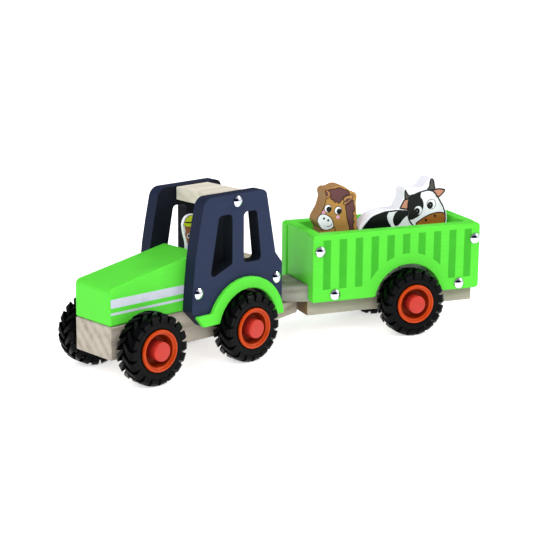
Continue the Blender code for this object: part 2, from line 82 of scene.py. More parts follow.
# Wheels
LUGS = 18
TYRE_SEGMENTS = 6 * LUGS
LUG_HEIGHT = 2.9 * MM
LUG_WIDTH = 6.0 * MM
LUG_SWEEP = math.radians(17)  # how far a lug slants round the tyre
LUG_STAGGER = 0.25  # of the lugs' pitch, each way, between the two sides
LUG_PROUD = 0.4 * MM  # how far the lugs stand out past the sidewall
LUG_ROUND = 0.28 * MM
TYRE_BORE = 14.9 * MM
RIM_INSET = 1 * MM  # from the tyre's inner face to the rim's inner end
BOWL_DEPTH = 9.5 * MM
BOSS_RADIUS = 5.6 * MM
AXLE_BORE = 3.3 * MM
WHEEL_SEGMENTS = 72
WHEEL_SMOOTH = 32  # degrees up to which an edge is shaded smooth
WHEEL_SPINS = {"front": 4, "rear": 23, "trailer": 11}  # so that the lugs don't all line up
# faces of a rim nearer the axle than this take the darker orange, as painted shade in the bowl
BOWL_SHADE_RADIUS = 12.3 * MM
CAP_SEGMENTS = 48
CAP_CLEAR = 2.0 * MM  # how much of a cap stands clear of its rim
BEVEL_FROM = 40  # degrees from which an edge is rounded
SHADE_SLOT = 1  # material slot of a piece's faces that take painted shade, such as those in a wheel's bowl

# Boards
WELD = 0.002 * MM
FLAT_ANGLE = math.radians(0.5)  # up to which neighbouring faces are joined into one
BOARD_SMOOTH = 30

# The windows of a cab side, in local millimetres, whose walls take painted shade: how far up they
# lie, and the slanted lines in front of them and behind them, as the x at the lower end and the slope
WINDOW_LOW = 67.0
WINDOW_HIGH = 119.0
WINDOW_FRONT = (-83.0, -0.19)
WINDOW_REAR = (-143.0, 0.12)
WALL_NORMAL = 0.7  # a face whose normal runs less than this across the board is a wall

# Screws
SCREW_HEAD_RADIUS = 4.4 * MM
SCREW_HEAD_HEIGHT = 2.4 * MM
SCREW_RIM = 0.5 * MM  # height of the upright edge round the head
SCREW_SHANK_RADIUS = 1.7 * MM
SCREW_LENGTH = 8 * MM
SCREW_SEGMENTS = 36
SCREW_SMOOTH = 40
DOME_STEPS = 10

# Prints: each layer of ink stands this much over the one below it
INK = 0.05 * MM
BORDER = 0.15  # mm of bare paint kept all round a printed picture
FLAT = 0.01  # mm within which points count as lying in one face
BONNET_STRIPES = ((59.1, 65.8), (53.8, 55.7))  # local millimetres
BONNET_STRIPE_ENDS = (-0.7, -74.0)

# Studio
FLOOR_HALF = 9.0  # metres
FLOOR_GLOW = 0.6
SKY_STRENGTH = 0.45

# Colours, as linear RGB
PLAIN = (1.0, 1.0, 1.0)  # a tint that changes nothing
GREEN = (0.104, 0.69, 0.049)
DARK_GREEN = (0.036, 0.42, 0.012)
NAVY = (0.024, 0.033, 0.071)
NAVY_EDGE_SHADE = (0.60, 0.60, 0.62)  # shares of the navy on the edges and the inner faces: painted shade, darker where less light reaches
NAVY_INSIDE_SHADE = (0.34, 0.30, 0.25)
# painted shade: the near-black navy on the walls of the cab's windows
NAVY_WINDOW_SHADE = (0.0058, 0.0083, 0.0132)
LATEWOOD_LOSS = (0.42, 0.47, 0.54)  # how much darker the dark rings of wood are
WOOD_ROOF = (0.70, 0.65, 0.55)
WOOD_CHASSIS = (0.44, 0.395, 0.33)
# darker than the chassis wood: partly the board's own tone, partly painted shade for the shade the
# drawbar lies in
WOOD_FLOOR = (0.34, 0.33, 0.285)
WOOD_BEAM = (0.38, 0.345, 0.28)
# painted shade: the trailer beam's front end face darker, for the shade under the drawbar
BEAM_END_SHADE = (0.42, 0.28, 0.09)
WOOD_SEAT = (0.62, 0.54, 0.42)
STRIPE_WHITE = (0.57, 0.61, 0.69)
ORANGE = (0.50, 0.048, 0.003)
# painted shade: the darker orange on the faces deep in a rim's bowl
ORANGE_BOWL_SHADE = (0.24, 0.020, 0.002)
RED = (0.50, 0.031, 0.019)
# painted shade: the darker red on a cap's side, down in the rim's bowl
RED_SHADED = (0.38, 0.024, 0.016)
RUBBER = (0.0016, 0.0018, 0.0022)
HORSE_BROWN = (0.45, 0.235, 0.068)
HORSE_EDGE = (0.355, 0.198, 0.084)
WHITE = (0.87, 0.86, 0.92)
COW_EDGE = (0.86, 0.86, 0.93)
CHROME = (0.69, 0.71, 0.79)
# painted shade: the dark chrome on a screw head's upright edge and its shank
CHROME_SHADE = (0.16, 0.16, 0.18)
STEEL = (0.58, 0.58, 0.60)
FLOOR_WHITE = (0.86, 0.86, 0.87)
INKS = {
    "plum": (0.130, 0.048, 0.050),
    "line_brown": (0.030, 0.012, 0.006),
    "tan": (0.44, 0.22, 0.075),
    "pink": (0.80, 0.38, 0.60),
    "white": WHITE,
    "black": (0.004, 0.004, 0.005),
    "grey": (0.30, 0.31, 0.36),
    "orange_brown": (0.36, 0.125, 0.022),
    "horn": (0.075, 0.070, 0.062),
    "ear": (0.52, 0.24, 0.15),
    "yellow": (0.72, 0.86, 0.03),
    "skin": (0.42, 0.16, 0.06),
    "blue": (0.03, 0.10, 0.34),
}

for leftover in list(bpy.data.objects):
    bpy.data.objects.remove(leftover, do_unlink=True)
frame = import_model()
record_joints = {joint["name"]: joint for joint in frame["joints"]}
bodies = frame["record"]["behaviour"]["bodies"]
BODY_OF = {node: body for body, members in bodies.items() for node in members}


def tractor_matrix():
    """At the chassis's front end, in the middle, on the floor."""
    low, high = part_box("chassis")
    return Matrix.Translation((high.x, (low.y + high.y) / 2, 0))


def trailer_matrix():
    """On the hitch, and turned so that the trailer's axle runs along its own Y."""
    place = record_joints["hitch_turn"]["pos_m"]
    axle = record_joints["trailer_axle_spin"]["axis"]
    turn = Matrix.Rotation(-math.atan2(axle[0], axle[1]), 4, "Z")
    return Matrix.Translation((place[0], place[1], 0)) @ turn


TRACTOR = tractor_matrix()
TRAILER = trailer_matrix()
TRAILER_YAW = TRAILER.to_euler().z


# ---- materials


class Shader:
    """A Principled material whose nodes are added one by one."""

    def __init__(self, name, roughness, metallic=0.0, gloss=0.5):
        self.material = bpy.data.materials.new(name)
        self.material.use_nodes = True
        self.nodes = self.material.node_tree.nodes
        self.links = self.material.node_tree.links
        self.out = self.nodes["Principled BSDF"]
        self.out.inputs["Roughness"].default_value = roughness
        self.out.inputs["Metallic"].default_value = metallic
        self.out.inputs["Specular IOR Level"].default_value = gloss

    def link(self, source, target):
        self.links.new(source, target)

    def coordinates(self, scale, yaw=0.0, shift=(0.0, 0.0, 0.0)):
        """The piece's own coordinates, turned back by yaw and stretched."""
        place = self.nodes.new("ShaderNodeTexCoord")
        turn = self.nodes.new("ShaderNodeMapping")
        turn.inputs["Rotation"].default_value = (0, 0, -yaw)
        stretch = self.nodes.new("ShaderNodeMapping")
        stretch.inputs["Scale"].default_value = scale
        stretch.inputs["Location"].default_value = shift
        self.link(place.outputs["Object"], turn.inputs["Vector"])
        self.link(turn.outputs["Vector"], stretch.inputs["Vector"])
        return stretch.outputs["Vector"]

    def noise(self, vector, scale, detail, roughness=0.55):
        made = self.nodes.new("ShaderNodeTexNoise")
        made.inputs["Scale"].default_value = scale
        made.inputs["Detail"].default_value = detail
        made.inputs["Roughness"].default_value = roughness
        self.link(vector, made.inputs["Vector"])
        return made.outputs["Fac"]

    def ramp(self, value, stops):
        """A colour ramp from (position, colour) stops."""
        made = self.nodes.new("ShaderNodeValToRGB")
        elements = made.color_ramp.elements
        elements.remove(elements[1])
        elements[0].position, elements[0].color = stops[0][0], (*stops[0][1], 1.0)
        for position, colour in stops[1:]:
            elements.new(position).color = (*colour, 1.0)
        self.link(value, made.inputs["Fac"])
        return made.outputs["Color"]

    def spread(self, value, low, high):
        """The value from its middle range to a range from low to high."""
        made = self.nodes.new("ShaderNodeMapRange")
        made.inputs["From Min"].default_value = 0.3
        made.inputs["From Max"].default_value = 0.7
        made.inputs["To Min"].default_value = low
        made.inputs["To Max"].default_value = high
        self.link(value, made.inputs["Value"])
        return made.outputs["Result"]

    def bump(self, height, distance, strength):
        made = self.nodes.new("ShaderNodeBump")
        made.inputs["Distance"].default_value = distance
        made.inputs["Strength"].default_value = strength
        self.link(height, made.inputs["Height"])
        self.link(made.outputs["Normal"], self.out.inputs["Normal"])

    def base(self, colour):
        self.link(colour, self.out.inputs["Base Color"])

    def mixed(self, first, second, share):
        """Part of the second number in the first."""
        made = self.nodes.new("ShaderNodeMix")
        made.inputs["Factor"].default_value = share
        self.link(first, made.inputs["A"])
        self.link(second, made.inputs["B"])
        return made.outputs["Result"]

    def tinted(self, colour, along, tints):
        """The colour times a tint that depends on which way the face looks.

        along is a direction; tints are (cosine to it, tint) stops from -1 to 1."""
        place = self.nodes.new("ShaderNodeTexCoord")
        facing = self.nodes.new("ShaderNodeVectorMath")
        facing.operation = "DOT_PRODUCT"
        facing.inputs[1].default_value = along
        self.link(place.outputs["Normal"], facing.inputs[0])
        share = self.nodes.new("ShaderNodeMapRange")
        share.inputs["From Min"].default_value = -1.0
        self.link(facing.outputs["Value"], share.inputs["Value"])
        stops = [((cosine + 1) / 2, tint) for cosine, tint in tints]
        factor = self.ramp(share.outputs["Result"], stops)
        made = self.nodes.new("ShaderNodeMix")
        made.data_type = "RGBA"
        made.blend_type = "MULTIPLY"
        made.inputs["Factor"].default_value = 1.0
        self.link(colour, made.inputs["A"])
        self.link(factor, made.inputs["B"])
        return made.outputs["Result"]

    def rough(self, value):
        self.link(value, self.out.inputs["Roughness"])


def shade(colour, factor):
    return tuple(min(1.0, channel * factor) for channel in colour)


def ratio(colour, base):
    return tuple(a / b for a, b in zip(colour, base))


def sides_tint(tint):
    """Stops for a board whose two flat faces keep their colour and whose edges take the tint."""
    return [(-0.85, PLAIN), (-0.45, tint), (0.45, tint), (0.85, PLAIN)]


def across(yaw):
    """The direction across a board that runs along X before it is turned by yaw."""
    return (-math.sin(yaw), math.cos(yaw), 0)


def painted_wood(name, colour, yaw=0.0, roughness=0.36, variation=0.06, tints=None):
    """Paint over sanded wood: the grain just shows, in tone and in relief."""
    made = Shader(name, roughness, gloss=0.06)
    grain = made.noise(made.coordinates((9, 130, 130), yaw), scale=6, detail=5, roughness=0.6)
    cloud = made.noise(made.coordinates(UNIT, yaw), scale=24, detail=3)
    darker, lighter = shade(colour, 1 - variation), shade(colour, 1 + variation)
    stops = [(0.30, darker), (0.52, colour), (0.72, lighter)]
    tone = made.ramp(made.mixed(grain, cloud, 0.4), stops)
    made.base(tone if tints is None else made.tinted(tone, across(yaw), tints))
    made.rough(made.spread(cloud, roughness - 0.05, roughness + 0.07))
    made.bump(grain, 0.12 * MM, 0.5)
    return made.material


def bare_wood(name, colour, yaw, pith, tints=None, contrast=1.0):
    """Sanded softwood sawn beside the pith: rings on its ends, long grain on its sides.

    pith shifts the board against the middle of the rings."""
    made = Shader(name, 0.62, gloss=0.3)
    dark = tuple(channel * (1 - loss * contrast) for channel, loss in zip(colour, LATEWOOD_LOSS))
    rings = made.nodes.new("ShaderNodeTexWave")
    rings.wave_type = "RINGS"
    rings.rings_direction = "X"
    rings.inputs["Scale"].default_value = 38.0
    rings.inputs["Distortion"].default_value = 5.0
    rings.inputs["Detail"].default_value = 3.0
    rings.inputs["Detail Scale"].default_value = 0.35
    made.link(made.coordinates((0.12, 1, 1), yaw, pith), rings.inputs["Vector"])
    cloud = made.noise(made.coordinates((0.16, 1, 1), yaw, pith), scale=120, detail=5, roughness=0.6)
    fibre = made.noise(made.coordinates((12, 260, 260), yaw, pith), scale=5, detail=4, roughness=0.7)
    pattern = made.mixed(made.mixed(rings.outputs["Fac"], cloud, 0.78), fibre, 0.25)
    stops = [
        (0.30, shade(colour, 1.12)),
        (0.46, colour),
        (0.56, tuple((a + 2 * b) / 3 for a, b in zip(dark, colour))),
        (0.72, dark),
    ]
    tone = made.ramp(pattern, stops)
    made.base(tone if tints is None else made.tinted(tone, (1, 0, 0), tints))
    made.rough(made.spread(fibre, 0.55, 0.72))
    made.bump(fibre, 0.10 * MM, 0.55)
    return made.material


def moulded(name, colour, roughness, variation, bump_scale, gloss=0.35):
    """Plastic or rubber with faint mottling and a fine skin."""
    made = Shader(name, roughness, gloss=gloss)
    place = made.coordinates(UNIT)
    cloud = made.noise(place, scale=190, detail=3)
    skin = made.noise(place, scale=bump_scale, detail=2)
    darker, lighter = shade(colour, 1 - variation), shade(colour, 1 + variation)
    made.base(made.ramp(cloud, [(0.3, darker), (0.7, lighter)]))
    made.rough(made.spread(cloud, roughness - 0.05, roughness + 0.06))
    made.bump(skin, 0.05 * MM, 0.35)
    return made.material


def metal(name, colour, roughness):
    """Bare metal with fine scratches."""
    made = Shader(name, roughness, metallic=1.0)
    scratch = made.noise(made.coordinates(UNIT), scale=900, detail=2)
    made.base(made.ramp(scratch, [(0.3, shade(colour, 0.95)), (0.7, colour)]))
    made.rough(made.spread(scratch, roughness * 0.8, roughness * 1.3))
    return made.material


def ink(name, colour, roughness=0.42):
    """Printed colour, very slightly uneven."""
    made = Shader(name, roughness, gloss=0.22)
    place = made.coordinates(UNIT)
    dots = made.noise(place, scale=800, detail=2)
    cloud = made.noise(place, scale=110, detail=3)
    made.base(made.ramp(cloud, [(0.3, shade(colour, 0.94)), (0.7, shade(colour, 1.06))]))
    made.rough(made.spread(dots, roughness - 0.05, roughness + 0.06))
    made.bump(dots, 0.02 * MM, 0.3)
    return made.material


# ---- mesh helpers


def link_object(name, mesh, material, smooth_angle=35, matrix=None):
    """A piece in the scene, its mesh moved by the matrix and shaded smooth up to the angle."""
    if matrix is not None:
        mesh.transform(matrix)
    mesh.shade_smooth()
    mesh.set_sharp_from_angle(angle=math.radians(smooth_angle))
    made = bpy.data.objects.new(name, mesh)
    bpy.context.scene.collection.objects.link(made)
    if material is not None:
        mesh.materials.append(material)
    return made


def mesh_from(name, maker):
    bmesh.ops.recalc_face_normals(maker, faces=maker.faces)
    mesh = bpy.data.meshes.new(name)
    maker.to_mesh(mesh)
    maker.free()
    return mesh


def bevel(piece, width):
    modifier = piece.modifiers.new("rounded", "BEVEL")
    modifier.width = width
    modifier.segments = 1
    modifier.limit_method = "ANGLE"
    modifier.angle_limit = math.radians(BEVEL_FROM)
    modifier.harden_normals = True


def finished(piece, node):
    """The piece stands for the node: it rides on its body, and the node is hidden."""
    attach(piece, BODY_OF[node])
    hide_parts(node)
    return piece


def smooth_copy(node, material):
    """The node's own shape, welded and shaded smooth over its rounded edges."""
    maker = bmesh.new()
    maker.from_mesh(frame["nodes"][node].data)
    bmesh.ops.remove_doubles(maker, verts=maker.verts, dist=WELD)
    bmesh.ops.dissolve_limit(maker, angle_limit=FLAT_ANGLE, verts=maker.verts, edges=maker.edges)
    mesh = bpy.data.meshes.new(node + "_board")
    maker.to_mesh(mesh)
    maker.free()
    piece = link_object(node + "_board", mesh, material, BOARD_SMOOTH)
    weighted = piece.modifiers.new("even_normals", "WEIGHTED_NORMAL")
    weighted.keep_sharp = True
    return finished(piece, node)


def turned(profile, segments=WHEEL_SEGMENTS):
    """A body of revolution about Y from a closed loop of (radius, y) points, or from a line
    that starts and ends on the axis."""
    maker = bmesh.new()
    rings = []
    for radius, along in profile:
        ring = []
        for i in range(segments if radius > 0 else 1):
            angle = 2 * math.pi * i / segments
            ring.append(maker.verts.new((radius * math.cos(angle), along, radius * math.sin(angle))))
        rings.append(ring)
    pairs = list(zip(rings, rings[1:]))
    if profile[0][0] > 0:
        pairs.append((rings[-1], rings[0]))
    for first, second in pairs:
        for i in range(segments):
            j = (i + 1) % segments
            corners = [first[i % len(first)], first[j % len(first)]]
            corners += [second[j % len(second)], second[i % len(second)]]
            maker.faces.new(list(dict.fromkeys(corners)))
    return maker


def rounded_profile(corners, steps=4):
    """A profile of (radius, y, fillet) corners, with each fillet drawn as an arc."""
    points = []
    for i, (x, y, fillet) in enumerate(corners):
        if fillet <= 0 or i in (0, len(corners) - 1):
            points.append((x, y))
            continue
        here = Vector((x, y))
        before = (Vector(corners[i - 1][:2]) - here).normalized()
        after = (Vector(corners[i + 1][:2]) - here).normalized()
        half = before.angle(after) / 2
        start = here + before * (fillet / math.tan(half))
        centre = here + (before + after).normalized() * (fillet / math.sin(half))
        end = here + after * (fillet / math.tan(half))
        first, last = start - centre, end - centre
        turn = math.atan2(first.x * last.y - first.y * last.x, first.dot(last))
        for k in range(steps + 1):
            points.append(tuple(centre + Matrix.Rotation(turn * k / steps, 2) @ first))
    return points


# ---- wheels


def tyre_mesh(half_width, radius, bore):
    """A tyre about Y, centred on its own middle plane, with chevron lugs."""
    tread = radius - LUG_HEIGHT
    shoulder = half_width - 2.4 * MM
    side = [
        (bore, 0.0, 0),
        (bore, half_width - 2.6 * MM, 0.6 * MM),
        (bore + 1.9 * MM, half_width - 0.5 * MM, 1.2 * MM),
        (radius - 6.4 * MM, half_width, 2.0 * MM),
        (tread - 0.6 * MM, shoulder, 2.2 * MM),
        (tread, 0.0, 0),
    ]
    near = rounded_profile(side)
    profile = near + [(r, -y) for r, y in reversed(near[1:-1])]
    maker = turned(profile, TYRE_SEGMENTS)
    for side_sign in (1, -1):
        for i in range(LUGS):
            start = 2 * math.pi * (i + side_sign * LUG_STAGGER) / LUGS
            add_lug(maker, start, side_sign, half_width, radius, tread)
    return mesh_from("tyre", maker)


def add_lug(maker, start, side_sign, half_width, radius, tread):
    """One lug: it starts low on the sidewall, climbs over the shoulder, and slants to the middle."""
    stations = [  # (share of the slant, y, inner radius, outer radius, width share)
        (0.00, half_width - 0.05 * MM, radius - 6.3 * MM, radius - 5.6 * MM, 1.00),
        (0.00, half_width + 0.25 * MM, radius - 5.0 * MM, radius - 2.8 * MM, 1.08),
        (0.02, half_width - 0.9 * MM, tread - 2.4 * MM, radius - 0.95 * MM, 1.10),
        (0.10, half_width - 2.4 * MM, tread - 1.5 * MM, radius - 0.15 * MM, 1.02),
        (0.40, half_width * 0.52, tread - 0.5 * MM, radius, 0.82),
        (0.72, half_width * 0.23, tread - 0.5 * MM, radius, 0.68),
        (1.00, -half_width * 0.03, tread - 0.5 * MM, radius - 0.05 * MM, 0.45),
    ]
    rings = []
    for share, y, low, high, width in stations:
        angle = start + LUG_SWEEP * share
        half = LUG_WIDTH * width / 2
        ring = []
        for r, w in ((low, -half * 1.25), (high, -half), (high, half), (low, half * 1.25)):
            a = angle + w / radius
            ring.append(maker.verts.new((r * math.cos(a), side_sign * y, r * math.sin(a))))
        rings.append(ring)
    maker.faces.new(rings[0])
    maker.faces.new(rings[-1])
    for first, second in zip(rings, rings[1:]):
        for i in range(4):
            j = (i + 1) % 4
            maker.faces.new((first[i], first[j], second[j], second[i]))


def rim_mesh(inner_end, bowl, bore, boss):
    """The rim about Y, with its face at y = 0: a rolled lip, a second step, and a deep bowl."""
    profile = rounded_profile(
        [
            (bore, -bowl, 0),
            (10.7 * MM, -bowl, 0.3 * MM),
            (11.4 * MM, -bowl + 1.2 * MM, 0.5 * MM),
            (12.5 * MM, -2.1 * MM, 0.5 * MM),
            (13.9 * MM, -1.4 * MM, 0.2 * MM),
            (14.3 * MM, -0.2 * MM, 0.5 * MM),
            (15.7 * MM, -0.2 * MM, 0.9 * MM),
            (16.2 * MM, -1.9 * MM, 0.5 * MM),
            (14.6 * MM, -3.6 * MM, 0),
            (14.6 * MM, inner_end, 0.6 * MM),
            (12.4 * MM, inner_end, 0.5 * MM),
            (11.8 * MM, -bowl - 3 * MM, 0.5 * MM),
            (boss, -bowl - 3 * MM, 0),
            (boss, inner_end - 3.4 * MM, 0.3 * MM),
            (bore, inner_end - 3.4 * MM, 0),
        ]
    )
    maker = turned(profile)
    # the faces deep in the bowl take the darker orange: painted shade
    for face in maker.faces:
        middle = face.calc_center_median()
        if math.hypot(middle.x, middle.z) < BOWL_SHADE_RADIUS:
            face.material_index = SHADE_SLOT
    return mesh_from("rim", maker)


def cap_mesh(radius, length):
    """A solid hub cap about Y with its end at y = 0."""
    profile = rounded_profile(
        [
            (0.0, -0.1 * MM, 0),
            (radius, -0.15 * MM, 0.9 * MM),
            (radius, -CAP_CLEAR, 0),
            (radius, -length, 0),
            (0.0, -length, 0),
        ],
        6,
    )
    maker = turned(profile, CAP_SEGMENTS)
    # the cap's side, down in the bowl, takes the darker red: painted shade
    for face in maker.faces:
        if face.calc_center_median().y < -CAP_CLEAR:
            face.material_index = SHADE_SLOT
    return mesh_from("cap", maker)


def wheels(looks):
    low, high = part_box("front_tyre_left")
    radius = (high.z - low.z) / 2
    half_width = (high.y - low.y) / 2
    rim_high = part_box("front_rim_left")[1]
    cap_low, cap_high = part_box("front_cap_left")
    middle_plane = TRACTOR.translation.y
    tyre_middle = (low.y + high.y) / 2 - middle_plane
    rim_face = rim_high.y - middle_plane
    cap_face = cap_high.y - middle_plane
    tyre = tyre_mesh(half_width - LUG_PROUD, radius, TYRE_BORE)
    rim_length = rim_face - (low.y - middle_plane) - RIM_INSET
    rim = rim_mesh(-rim_length, BOWL_DEPTH, AXLE_BORE, BOSS_RADIUS)
    cap = cap_mesh((cap_high.x - cap_low.x) / 2, cap_high.y - cap_low.y)
    # darker copies of the rim's and the cap's colours, as painted shade in the bowl
    shade_looks = {"rim": "orange_bowl_shade", "cap": "red_shaded"}
    for axle, spin_degrees in WHEEL_SPINS.items():
        turn = (TRAILER if axle == "trailer" else TRACTOR).to_3x3()
        hub = Vector(record_joints[axle + "_axle_spin"]["pos_m"])
        for word, side in (("left", 1), ("right", -1)):
            facing = turn @ Matrix.Rotation(0 if side > 0 else math.pi, 3, "Z")
            spin = Matrix.Rotation(math.radians(side * spin_degrees), 3, "Y")
            for part, mesh, along, finish in (
                ("tyre", tyre, tyre_middle, looks["rubber"]),
                ("rim", rim, rim_face, looks["orange"]),
                ("cap", cap, cap_face, looks["red"]),
            ):
                node = f"{axle}_{part}_{word}"
                matrix = (facing @ spin).to_4x4()
                matrix.translation = hub + facing @ Vector((0, along, 0))
                piece = link_object(node + "_detail", mesh.copy(), finish, WHEEL_SMOOTH, matrix)
                if part in shade_looks:
                    piece.data.materials.append(looks[shade_looks[part]])
                if part == "tyre":
                    bevel(piece, LUG_ROUND)
                finished(piece, node)
        smooth_copy(axle + "_axle", looks["steel"])


def screw_mesh():
    """A domed head about Y, on a thin cylindrical base, with its seat at y = 0."""
    head, radius = SCREW_HEAD_HEIGHT, SCREW_HEAD_RADIUS
    rise = head - SCREW_RIM
    sphere = (radius**2 + rise**2) / (2 * rise)
    spread = math.asin(radius / sphere)
    profile = [(0, head)]
    for i in range(1, DOME_STEPS + 1):
        angle = spread * i / DOME_STEPS
        profile.append((sphere * math.sin(angle), head - sphere * (1 - math.cos(angle))))
    profile += [
        (radius, 0.1 * MM),
        (radius - 0.3 * MM, 0),
        (SCREW_SHANK_RADIUS, 0),
        (SCREW_SHANK_RADIUS, -SCREW_LENGTH),
        (0, -SCREW_LENGTH),
    ]
    mesh = mesh_from("screw", turned(profile, SCREW_SEGMENTS))
    # the upright edge round the head and the shank take the dark chrome: painted shade
    for polygon in mesh.polygons:
        if polygon.center.y < SCREW_RIM:
            polygon.material_index = SHADE_SLOT
    return mesh


def screws(looks):
    mesh = screw_mesh()
    for node, cad in frame["nodes"].items():
        if "_screw_" not in node:
            continue
        matrix = TRAILER if node.startswith("trailer") else TRACTOR
        side = 1 if node.endswith("left") else -1
        local = [matrix.inverted() @ vertex.co for vertex in cad.data.vertices]
        outward = max(side * point.y for point in local)
        xs, zs = [point.x for point in local], [point.z for point in local]
        seat_y = side * (outward - SCREW_HEAD_HEIGHT)
        seat = Vector(((min(xs) + max(xs)) / 2, seat_y, (min(zs) + max(zs)) / 2))
        facing = Matrix.Rotation(0 if side > 0 else math.pi, 4, "Z")
        matrix = matrix @ Matrix.Translation(seat) @ facing
        piece = link_object(node + "_detail", mesh.copy(), looks["chrome"], SCREW_SMOOTH, matrix)
        piece.data.materials.append(looks["chrome_shade"])
        finished(piece, node)


# ---- prints


def spline(points, steps=5, closed=True):
    """A smooth curve through the points, as Catmull and Rom draw it."""
    count = len(points)
    made = []
    last = count if closed else count - 1
    for i in range(last):
        if closed:
            p = [Vector(points[(i + k) % count]) for k in (-1, 0, 1, 2)]
        else:
            p = [Vector(points[min(max(i + k, 0), count - 1)]) for k in (-1, 0, 1, 2)]
        for s in range(steps):
            t = s / steps
            made.append(
                0.5
                * (
                    2 * p[1]
                    + (p[2] - p[0]) * t
                    + (2 * p[0] - 5 * p[1] + 4 * p[2] - p[3]) * t**2
                    + (3 * p[1] - p[0] - 3 * p[2] + p[3]) * t**3
                )
            )
    if not closed:
        made.append(Vector(points[-1]))
    return made


def ellipse(x, z, rx, rz, lean=0, count=28):
    turn = Matrix.Rotation(math.radians(lean), 2)
    angles = (2 * math.pi * i / count for i in range(count))
    return [Vector((x, z)) + turn @ Vector((rx * math.cos(a), rz * math.sin(a))) for a in angles]


def ribbon(points, width, closed=True):
    """The two edges of a line of that width along the points."""
    count = len(points)
    outer, inner = [], []
    for i, here in enumerate(points):
        before = points[(i - 1) % count] if closed or i > 0 else here
        after = points[(i + 1) % count] if closed or i < count - 1 else here
        along = (Vector(after) - Vector(before)).normalized()
        across = Vector((-along.y, along.x)) * width / 2
        outer.append(Vector(here) + across)
        inner.append(Vector(here) - across)
    return outer, inner


def face_border(node, matrix):
    """The edges round the node's flat left face, as pairs of local (x, z) points in millimetres."""
    mesh = frame["nodes"][node].data
    points = [matrix.inverted() @ vertex.co / MM for vertex in mesh.vertices]
    face_y = max(point.y for point in points)
    found = collections.Counter()
    for polygon in mesh.polygons:
        corners = [points[i] for i in polygon.vertices]
        if min(corner.y for corner in corners) < face_y - FLAT:
            continue
        keys = [(round(corner.x, 3), round(corner.z, 3)) for corner in corners]
        for start, end in zip(keys, keys[1:] + keys[:1]):
            found[tuple(sorted((start, end)))] += 1
    return [(Vector(a), Vector(b)) for (a, b), count in found.items() if count == 1]


def kept_inside(point, border, margin):
    """The point, moved if it must be to stay inside the border by at least the margin."""
    point = Vector(point)
    crossings = 0
    nearest = None
    for a, b in border:
        if (a.y > point.y) != (b.y > point.y):
            crossings += point.x < a.x + (point.y - a.y) / (b.y - a.y) * (b.x - a.x)
        share = (point - a).dot(b - a) / (b - a).length_squared
        foot = a.lerp(b, min(max(share, 0.0), 1.0))
        if nearest is None or (point - foot).length < (point - nearest).length:
            nearest = foot
    inside = crossings % 2 == 1
    if nearest is None or (inside and (point - nearest).length >= margin):
        return point
    inward = (point - nearest) if inside else (nearest - point)
    return nearest + inward.normalized() * margin


class Print:
    """Thin raised shapes on one or both faces of a flat piece, in local millimetres (x, z).

    With a border, all that's drawn is kept inside it. A higher layer covers a lower one."""

    def __init__(self, name, matrix, faces, border=()):
        self.name = name
        self.matrix = matrix
        self.faces = faces  # (y of the face, +1 or -1 outward)
        self.border = border
        self.maker = bmesh.new()
        self.materials = []

    def slot(self, material):
        if material not in self.materials:
            self.materials.append(material)
        return self.materials.index(material)

    def rows(self, y, out, layer, edges):
        """Corners along the edges, first just under the face and then as high as the layer."""
        return [
            [self.maker.verts.new((p.x * MM, level, p.y * MM)) for p in edge]
            for level in (y - out * INK, y + out * INK * layer)
            for edge in edges
        ]

    def face(self, corners, index):
        self.maker.faces.new(corners).material_index = index

    def shape(self, points, material, layer):
        """A filled outline."""
        points = [kept_inside(p, self.border, BORDER) for p in points]
        index = self.slot(material)
        for y, out in self.faces:
            low, high = self.rows(y, out, layer, [points])
            self.face(low, index)
            self.face(high, index)
            for i in range(len(points)):
                j = (i + 1) % len(points)
                self.face((low[i], low[j], high[j], high[i]), index)

    def line(self, points, material, layer, width, closed=True):
        points = [kept_inside(p, self.border, BORDER + width / 2) for p in points]
        edges = ribbon(points, width, closed)
        last = len(points) if closed else len(points) - 1
        index = self.slot(material)
        for y, out in self.faces:
            grid = self.rows(y, out, layer, edges)
            for i in range(last):
                j = (i + 1) % len(points)
                for a, b in ((0, 1), (3, 2), (2, 0), (1, 3)):
                    self.face((grid[a][i], grid[a][j], grid[b][j], grid[b][i]), index)
            if not closed:
                for end in (0, -1):
                    self.face([grid[k][end] for k in (0, 1, 3, 2)], index)

    def stroke(self, points, material, layer, width):
        """A smooth line from the first point to the last."""
        self.line(spline(points, closed=False), material, layer, width, closed=False)

    def outlined(self, points, fill, layer, edge, width):
        """A smooth filled shape, with a line round it on the next layer."""
        curve = spline(points)
        self.shape(curve, fill, layer)
        self.line(curve, edge, layer + 1, width)

    def finish(self, body, slot):
        mesh = mesh_from(self.name, self.maker)
        for material in self.materials:
            mesh.materials.append(material)
        piece = link_object(self.name, mesh, None, BOARD_SMOOTH, self.matrix)
        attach(piece, body)


def local_faces(node, matrix):
    """The y of the node's two flat faces in the local frame, with the way each one looks."""
    ys = [(matrix.inverted() @ vertex.co).y for vertex in frame["nodes"][node].data.vertices]
    return (max(ys), 1), (min(ys), -1)


def bonnet_stripes(looks):
    """A wide and a thin pale stripe along each side."""
    made = Print("bonnet_stripes", TRACTOR, local_faces("bonnet", TRACTOR))
    front, rear = BONNET_STRIPE_ENDS
    for low, high in BONNET_STRIPES:
        made.shape([(front, low), (rear, low), (rear, high), (front, high)], looks["stripe"], 1)
    made.finish("tractor", "white_paint")


